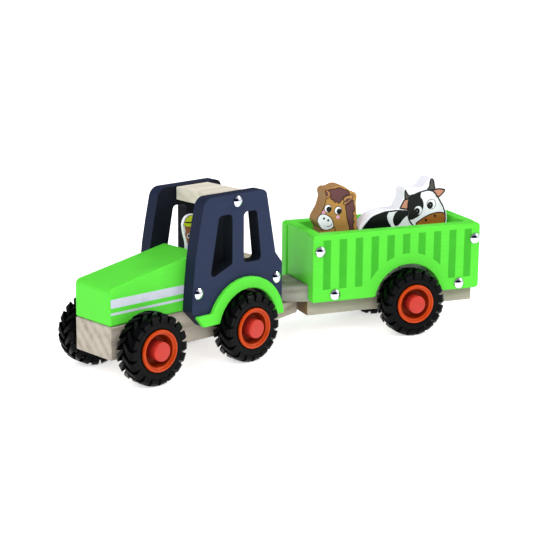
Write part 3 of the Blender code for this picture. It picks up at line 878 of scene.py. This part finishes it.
def trailer_stripes(looks):
    """Ten darker bars on each side, cut short over the wheel."""
    arch_x, arch_z, arch_radius = -101.7, 27.5, 40.0
    top, bottom = 83.9, 43.3
    first, pitch, width, count = -24.6, 14.21, 6.55, 10
    steps = 6
    for word, face_index in (("left", 0), ("right", 1)):
        face = local_faces("trailer_side_" + word, TRAILER)[face_index]
        made = Print(f"trailer_stripes_{word}", TRAILER, (face,))
        for i in range(count):
            front = first - pitch * i
            lower_edge = []
            for k in range(steps + 1):
                x = front - width * k / steps
                inside = arch_radius**2 - (x - arch_x) ** 2
                over = arch_z + math.sqrt(inside) if inside > 0 else 0
                lower_edge.append((x, max(bottom, over)))
            outline = [(front, top), *lower_edge, (front - width, top)]
            made.shape(outline, looks["dark_green"], 1)
        made.finish("trailer", "green_paint")


def horse_print(looks):
    """A brown horse's head seen from the front left, with a plum mane."""
    border = face_border("horse", TRAILER)
    made = Print("horse_print", TRAILER, local_faces("horse", TRAILER), border)
    dark, plum, tan = looks["line_brown"], looks["plum"], looks["tan"]
    head = [
        (-36.5, 113), (-36, 110.5), (-35, 107.5), (-33, 102.5), (-31, 99.5),
        (-29.5, 96.5), (-29.5, 93.5), (-30.5, 90), (-32.5, 87.5), (-34.5, 86),
    ]
    made.stroke(head, dark, 1, 0.8)
    mane = [
        (-38.5, 118.5), (-38, 119.5), (-39.5, 120.5), (-42, 120.5), (-46, 121), (-48, 121.5),
        (-50, 121), (-52.5, 119.5), (-55, 119), (-57, 117), (-57, 115), (-54, 114.5),
        (-52, 113.5), (-51, 111.5), (-50, 110.5), (-49, 109), (-47.5, 108.5), (-46.5, 110),
        (-45, 109.5), (-44, 110), (-43, 111.5), (-41.5, 112), (-40.5, 114), (-41, 115),
        (-40.5, 116.5),
    ]
    made.outlined(mane, plum, 1, dark, 0.7)
    side_mane = [
        (-60.5, 110.5), (-61, 107.5), (-62, 104.5), (-62, 101.5), (-60.5, 99.5), (-61.5, 97),
        (-61, 94), (-62, 92), (-61, 89.5), (-62, 84), (-61, 79), (-61.5, 74), (-61, 69),
        (-58.5, 66), (-57.5, 75), (-58, 87), (-57, 90.5), (-55.5, 96), (-55, 100.5),
        (-54, 105.5), (-56.5, 107.5),
    ]
    made.outlined(side_mane, plum, 1, dark, 0.7)
    right_ear = [
        (-52, 111.5), (-53, 113), (-56.5, 114.5), (-60.5, 114.5), (-60, 112), (-58.5, 110),
        (-56.5, 108.5), (-54, 107), (-52, 108), (-53, 109.5),
    ]
    right_inner = [(-53.5, 110.5), (-55.5, 112), (-58.5, 112), (-58, 111), (-55.5, 109), (-54, 108.5)]
    left_ear = [
        (-35, 121), (-37.5, 120), (-40, 117.5), (-40, 115.5), (-39, 114), (-37.5, 113.2),
        (-36.5, 114), (-36, 117.5),
    ]
    left_inner = [(-36, 119.5), (-37.5, 118.5), (-38.5, 116.5), (-38, 115), (-37, 115), (-36.5, 117)]
    for outer, inner in ((right_ear, right_inner), (left_ear, left_inner)):
        made.outlined(outer, tan, 3, dark, 0.6)
        made.shape(spline(inner), plum, 5)
    for x, z in ((-38.2, 104.8), (-47.4, 102.5)):
        made.shape(ellipse(x, z, 3.4, 3.55), dark, 1)
        made.shape(ellipse(x, z, 2.9, 3.05), looks["white"], 2)
        made.shape(ellipse(x - 0.9, z - 0.7, 2.2, 2.3), looks["black"], 3)
    for x, z in ((-34.1, 101.8), (-47.3, 97.0)):
        made.shape(ellipse(x, z, 1.6, 1.35), looks["pink"], 1)
    muzzle = [
        (-32.5, 100.5), (-36.5, 100), (-41, 97), (-43, 93), (-43.5, 89.5), (-40.5, 87.5),
        (-36.5, 87), (-32, 89), (-29, 92.5), (-29, 96), (-30.5, 99),
    ]
    made.outlined(muzzle, looks["white"], 2, dark, 0.7)
    for x, z in ((-34.9, 96.8), (-38.7, 95.0)):
        made.shape(ellipse(x, z, 0.95, 1.0, count=14), looks["black"], 4)
    smile = [(-37.5, 90), (-39.5, 90), (-41.5, 91), (-42, 92)]
    made.stroke(smile, dark, 4, 0.5)
    jaw = [(-43.5, 89), (-45, 87.5), (-44.5, 82), (-41, 74)]
    made.stroke(jaw, dark, 1, 0.7)
    made.finish("horse", "horse_paint")


def cow_print(looks):
    """A black and white cow, its head turned to look out."""
    border = face_border("cow", TRAILER)
    made = Print("cow_print", TRAILER, local_faces("cow", TRAILER), border)
    black, white = looks["black"], looks["white"]
    flank = [
        (-69, 84), (-72.5, 89.5), (-77, 93.5), (-85.5, 97), (-93, 98), (-92, 94.5),
        (-93.5, 89.5), (-96.5, 84), (-95, 74), (-86, 66), (-76, 66), (-69.5, 74),
    ]
    made.shape(spline(flank), black, 1)
    shoulder = [
        (-100.5, 97.5), (-105.5, 98), (-111, 97), (-112, 95), (-107.5, 91.5), (-103, 86.5),
        (-99.5, 86), (-97.5, 90.5), (-98.5, 95),
    ]
    made.shape(spline(shoulder), black, 1)
    back = [(-69, 84), (-77, 93.5), (-85.5, 97), (-93, 98.5), (-102, 98.5), (-111.5, 97.5)]
    made.stroke(back, black, 2, 1.2)
    head = [
        (-113, 110), (-116.5, 111), (-121, 112.5), (-125.5, 113.5), (-129.5, 114), (-134.5, 112.5),
        (-138, 108.5), (-141.5, 103), (-144.5, 98), (-146, 92.5), (-146, 86), (-144, 80.5),
        (-137, 77), (-127, 78.5), (-117.5, 84), (-112.5, 90), (-111, 97), (-111.5, 104),
    ]
    made.outlined(head, white, 2, black, 1.2)
    patch = [
        (-111.5, 101), (-112, 106), (-113, 110), (-117.5, 111.5), (-122.5, 112.5), (-122.5, 109),
        (-124.5, 106), (-125.5, 102.5), (-125, 98.5), (-122.5, 93.5), (-118, 91), (-113.5, 90),
        (-112, 94),
    ]
    made.shape(spline(patch), black, 4)
    muzzle = [
        (-119, 85.5), (-123.5, 89.5), (-129.5, 92.5), (-135, 94), (-140, 94.5), (-145.5, 93),
        (-146, 87), (-143.5, 81), (-137, 78), (-127, 79),
    ]
    made.outlined(muzzle, looks["orange_brown"], 4, black, 0.9)
    for x, z in ((-128.1, 88.8), (-136.4, 91.8)):
        made.shape(ellipse(x, z, 1.0, 1.3, -20, 14), black, 6)
    for x, z, size in ((-120.5, 97.5, 3.6), (-132.8, 102.0, 3.9)):
        made.shape(ellipse(x, z, size + 0.45, size + 0.5), black, 5)
        made.shape(ellipse(x, z, size, size + 0.1), white, 6)
        made.shape(ellipse(x + 1.2, z - 0.9, 2.7, 3.0), black, 7)
        made.shape(ellipse(x + 1.0, z - 0.5, 0.4, 0.4, count=12), looks["grey"], 8)
    horns = (
        [
            (-108, 116), (-107, 112.5), (-108, 108.5), (-110, 107.5), (-112.5, 110),
            (-110.5, 111.5), (-109, 114),
        ],
        [
            (-132, 124), (-131, 120.5), (-130.5, 117), (-129, 114.5), (-132.5, 114),
            (-135.5, 114.5), (-135, 118), (-134, 122),
        ],
    )
    for horn in horns:
        made.outlined(horn, looks["horn"], 3, black, 1.0)
    ears = (
        [
            (-103, 101), (-105, 104.5), (-108.5, 107.5), (-111.5, 108), (-111, 103.5),
            (-110.5, 99.5), (-106, 100),
        ],
        [
            (-134, 113.5), (-138.5, 114.5), (-142.5, 114), (-145, 113), (-142.5, 110),
            (-138.5, 107.5), (-136, 110.5),
        ],
    )
    for ear in ears:
        made.outlined(ear, looks["ear"], 1, black, 1.2)
    leg = [(-104, 84), (-106, 70), (-104, 47)]
    made.stroke(leg, black, 1, 0.7)
    made.finish("cow", "white_paint")


def driver_print(looks):
    """A driver in profile: blue overalls, a plain face and a yellow helmet."""
    border = face_border("driver", TRACTOR)
    made = Print("driver_print", TRACTOR, local_faces("driver", TRACTOR), border)
    torso = spline(
        [
            (-90.6, 90), (-96, 89), (-102.4, 88), (-102.6, 70), (-102.6, 50), (-91, 50),
            (-90.4, 70),
        ]
    )
    made.shape(torso, looks["blue"], 1)
    face = spline(
        [
            (-88.7, 105), (-88.5, 102), (-88.3, 100.2), (-87.9, 98.4), (-89, 96.4), (-89.6, 94.2),
            (-90.6, 91.4), (-94, 89.6), (-99, 90), (-102, 94), (-102.4, 101), (-101.6, 105.2),
        ]
    )
    made.shape(face, looks["skin"], 2)
    made.shape(ellipse(-91.2, 97.4, 1.4, 2.1, count=20), looks["white"], 3)
    made.shape(ellipse(-91.4, 97.3, 0.85, 1.1, count=16), looks["black"], 4)
    helmet = spline(
        [
            (-86.6, 106.3), (-86.3, 107.6), (-87.8, 109), (-88.9, 111.1), (-91.2, 112.5),
            (-95.6, 113), (-100, 111.2), (-102.4, 107.6), (-102, 104.6), (-92.7, 104), (-88.6, 105),
        ]
    )
    made.shape(helmet, looks["yellow"], 3)
    band = spline(
        [(-88, 108.7), (-94, 108), (-102, 108.4), (-102, 107.6), (-94, 107), (-88.2, 107.9)]
    )
    made.shape(band, looks["black"], 4)
    made.line(helmet, looks["black"], 5, 0.3)
    made.finish("tractor", "white_paint")


# ---- boards


def shade_window_walls(piece, material):
    """Give the walls of the windows a darker navy, as painted shade."""
    piece.data.materials.append(material)
    inverse = TRACTOR.inverted()
    for polygon in piece.data.polygons:
        x, _, z = inverse @ polygon.center / MM
        up = z - WINDOW_LOW
        rear = WINDOW_REAR[0] + WINDOW_REAR[1] * up
        front = WINDOW_FRONT[0] + WINDOW_FRONT[1] * up
        is_wall = abs(polygon.normal.y) < WALL_NORMAL
        if is_wall and 0 < up < WINDOW_HIGH - WINDOW_LOW and rear < x < front:
            polygon.material_index = SHADE_SLOT


def boards(looks):
    natural = {
        "chassis": looks["wood_chassis"],
        "roof": looks["wood_roof"],
        "seat_back": looks["wood_seat"],
        "hitch_peg": looks["wood_seat"],
        "trailer_floor": looks["wood_floor"],
        "trailer_beam": looks["wood_beam"],
    }
    for node, material in natural.items():
        smooth_copy(node, material)
    for node in ("bonnet", "fender_left", "fender_right"):
        smooth_copy(node, looks["green"])
    for word in ("left", "right"):
        panel = smooth_copy("cab_side_" + word, looks["navy_" + word])
        shade_window_walls(panel, looks["navy_window_shade"])
    for node in ("side_left", "side_right", "front_wall", "rear_wall"):
        smooth_copy("trailer_" + node, looks["trailer_green"])
    smooth_copy("horse", looks["horse"])
    smooth_copy("cow", looks["cow_white"])
    smooth_copy("driver", looks["driver_white"])


# ---- studio


def compass(azimuth, height):
    """The direction to a point of the sky, with azimuth 0 on the -Y side, turning to +X."""
    a, e = math.radians(azimuth), math.radians(height)
    return Vector((math.sin(a) * math.cos(e), -math.cos(a) * math.cos(e), math.sin(e)))


def studio_floor():
    floor_maker = bmesh.new()
    bmesh.ops.create_grid(floor_maker, x_segments=8, y_segments=8, size=FLOOR_HALF)
    floor = link_object("studio_floor", mesh_from("studio_floor", floor_maker), None)
    surface = Shader("floor_white", 0.8, gloss=0.1)
    surface.out.inputs["Base Color"].default_value = (*FLOOR_WHITE, 1)
    surface.out.inputs["Emission Color"].default_value = (1, 1, 1, 1)
    surface.out.inputs["Emission Strength"].default_value = FLOOR_GLOW
    floor.data.materials.append(surface.material)


def studio_air():
    """A white room, brightest low down: a dark corner, a dim wall and one large soft lamp."""
    world = bpy.data.worlds.new("studio_air")
    bpy.context.scene.world = world
    world.use_nodes = True
    nodes, links = world.node_tree.nodes, world.node_tree.links
    background = nodes["Background"]
    background.inputs["Strength"].default_value = SKY_STRENGTH
    place = nodes.new("ShaderNodeTexCoord")

    def sky_ramp(value, stops):
        made = nodes.new("ShaderNodeValToRGB")
        elements = made.color_ramp.elements
        for element, (position, level) in zip(elements, stops):
            element.position = position
            element.color = (*level, 1)
        links.new(value, made.inputs["Fac"])
        return made.outputs["Color"]

    def cosine_to(direction, stretch):
        """How near a point of the sky is to the direction, in a sky stretched upward."""
        taller = nodes.new("ShaderNodeVectorMath")
        taller.operation = "MULTIPLY"
        taller.inputs[1].default_value = (1, 1, stretch)
        links.new(place.outputs["Generated"], taller.inputs[0])
        unit = nodes.new("ShaderNodeVectorMath")
        unit.operation = "NORMALIZE"
        links.new(taller.outputs["Vector"], unit.inputs[0])
        made = nodes.new("ShaderNodeVectorMath")
        made.operation = "DOT_PRODUCT"
        made.inputs[1].default_value = direction
        links.new(unit.outputs["Vector"], made.inputs[0])
        return made.outputs["Value"]

    def combined(kind, first, second):
        made = nodes.new("ShaderNodeMix")
        made.data_type = "RGBA"
        made.blend_type = kind
        made.clamp_result = False
        made.inputs["Factor"].default_value = 1.0
        links.new(first, made.inputs["A"])
        links.new(second, made.inputs["B"])
        return made.outputs["Result"]

    split = nodes.new("ShaderNodeSeparateXYZ")
    links.new(place.outputs["Generated"], split.inputs["Vector"])
    height = sky_ramp(split.outputs["Z"], [(0.0, (1.0, 1.0, 1.0)), (1.0, (0.72, 0.72, 0.73))])
    dark = sky_ramp(cosine_to(compass(152, 10), 1.6), [(0.72, (1, 1, 1)), (0.75, (0.01, 0.01, 0.07))])
    behind = sky_ramp(cosine_to(compass(317, 20), 1.0), [(0.78, (1, 1, 1)), (0.92, (0.3, 0.3, 0.3))])
    lamp = sky_ramp(cosine_to(compass(228, 32), 1.0), [(0.88, (0, 0, 0)), (0.92, (2.5, 2.5, 2.5))])
    room = combined("MULTIPLY", combined("MULTIPLY", height, dark), behind)
    links.new(combined("ADD", room, lamp), background.inputs["Color"])


def sun(name, azimuth, height, energy, softness, mirrored=False):
    """A distant light. Only a mirrored one shows in reflections."""
    light = bpy.data.lights.new(name, "SUN")
    light.energy = energy
    light.angle = math.radians(softness)
    lamp = bpy.data.objects.new(name, light)
    lamp.visible_glossy = mirrored
    bpy.context.scene.collection.objects.link(lamp)
    lamp.rotation_euler = compass(azimuth, height).to_track_quat("Z", "Y").to_euler()


def studio():
    studio_floor()
    studio_air()
    sun("front_light", 112, 38, 1.52, 30)
    sun("side_light", 165, 35, 0.68, 30)
    sun("back_light", 290, 50, 0.45, 50)
    sun("top_light", 137, 82, 0.25, 40)
    sun("sparkle", 245, 45, 0.7, 4, True)


def camera():
    made = bpy.data.cameras.new("view")
    made.lens = CAMERA_LENS
    made.sensor_width = CAMERA_SENSOR
    made.clip_start, made.clip_end = 0.01, 100
    holder = bpy.data.objects.new("view", made)
    bpy.context.scene.collection.objects.link(holder)
    azimuth, roll = math.radians(CAMERA_AZIMUTH), math.radians(CAMERA_ROLL)
    back = compass(CAMERA_AZIMUTH, CAMERA_ELEVATION)
    level = Vector((math.cos(azimuth), math.sin(azimuth), 0))
    up = back.cross(level)
    right = level * math.cos(roll) + up * math.sin(roll)
    top = up * math.cos(roll) - level * math.sin(roll)
    matrix = Matrix((right, top, back)).transposed().to_4x4()
    matrix.translation = TRACTOR @ Vector(CAMERA_PLACE)
    holder.matrix_world = matrix
    bpy.context.scene.camera = holder
    bpy.context.scene.view_settings.view_transform = "Standard"


def main():
    camera()
    studio()
    # painted shade on the cab sides: their edges and inner faces darker than the outer faces
    navy = [(-0.85, NAVY_INSIDE_SHADE), (-0.45, NAVY_EDGE_SHADE), (0.45, NAVY_EDGE_SHADE), (0.85, PLAIN)]
    # painted shade on the trailer beam's front end face
    beam = [(0.45, PLAIN), (0.85, BEAM_END_SHADE)]
    horse = sides_tint(ratio(HORSE_EDGE, HORSE_BROWN))
    cow = sides_tint(ratio(COW_EDGE, WHITE))
    looks = {
        "green": painted_wood("green_paint", GREEN),
        "trailer_green": painted_wood("trailer_green_paint", GREEN, TRAILER_YAW),
        "navy_left": painted_wood("navy_paint_left", NAVY, 0.0, 0.45, 0.08, navy),
        "navy_right": painted_wood("navy_paint_right", NAVY, math.pi, 0.45, 0.08, navy),
        "navy_window_shade": painted_wood("navy_paint_window_shade", NAVY_WINDOW_SHADE, 0.0, 0.5, 0.08),
        "wood_chassis": bare_wood("chassis_wood", WOOD_CHASSIS, 0.0, (0.0, 0.11, 0.06)),
        "wood_roof": bare_wood("roof_wood", WOOD_ROOF, 0.0, (0.3, 0.05, -0.09), contrast=0.45),
        "wood_seat": bare_wood("seat_wood", WOOD_SEAT, math.pi / 2, (0.1, 0.08, -0.05)),
        "wood_floor": bare_wood("floor_wood", WOOD_FLOOR, TRAILER_YAW, (0.5, -0.04, 0.09)),
        "wood_beam": bare_wood("beam_wood", WOOD_BEAM, TRAILER_YAW, (0.9, 0.09, 0.05), beam),
        "horse": painted_wood("horse_brown_paint", HORSE_BROWN, TRAILER_YAW, 0.5, 0.15, horse),
        "cow_white": painted_wood("cow_white_paint", WHITE, TRAILER_YAW, 0.5, 0.03, cow),
        "driver_white": painted_wood("driver_white_paint", WHITE, 0.0, 0.5, 0.03),
        "rubber": moulded("tyre_rubber", RUBBER, 0.3, 0.15, 1500.0, 0.075),
        "orange": moulded("orange_plastic", ORANGE, 0.34, 0.05, 900.0, 0.2),
        "orange_bowl_shade": moulded("orange_plastic_bowl_shade", ORANGE_BOWL_SHADE, 0.5, 0.05, 900.0, 0.1),
        "red": moulded("red_plastic", RED, 0.50, 0.08, 1300.0),
        "red_shaded": moulded("red_plastic_side_shade", RED_SHADED, 0.6, 0.08, 1300.0, 0.1),
        "chrome": metal("screw_chrome", CHROME, roughness=0.07),
        "chrome_shade": metal("screw_chrome_shade", CHROME_SHADE, roughness=0.2),
        "steel": metal("axle_steel", STEEL, roughness=0.32),
        "stripe": ink("stripe_white", STRIPE_WHITE, 0.40),
        "dark_green": ink("stripe_green", DARK_GREEN, 0.40),
    }
    for name, colour in INKS.items():
        looks[name] = ink("ink_" + name, colour)
    boards(looks)
    wheels(looks)
    screws(looks)
    bonnet_stripes(looks)
    trailer_stripes(looks)
    horse_print(looks)
    cow_print(looks)
    driver_print(looks)


main()
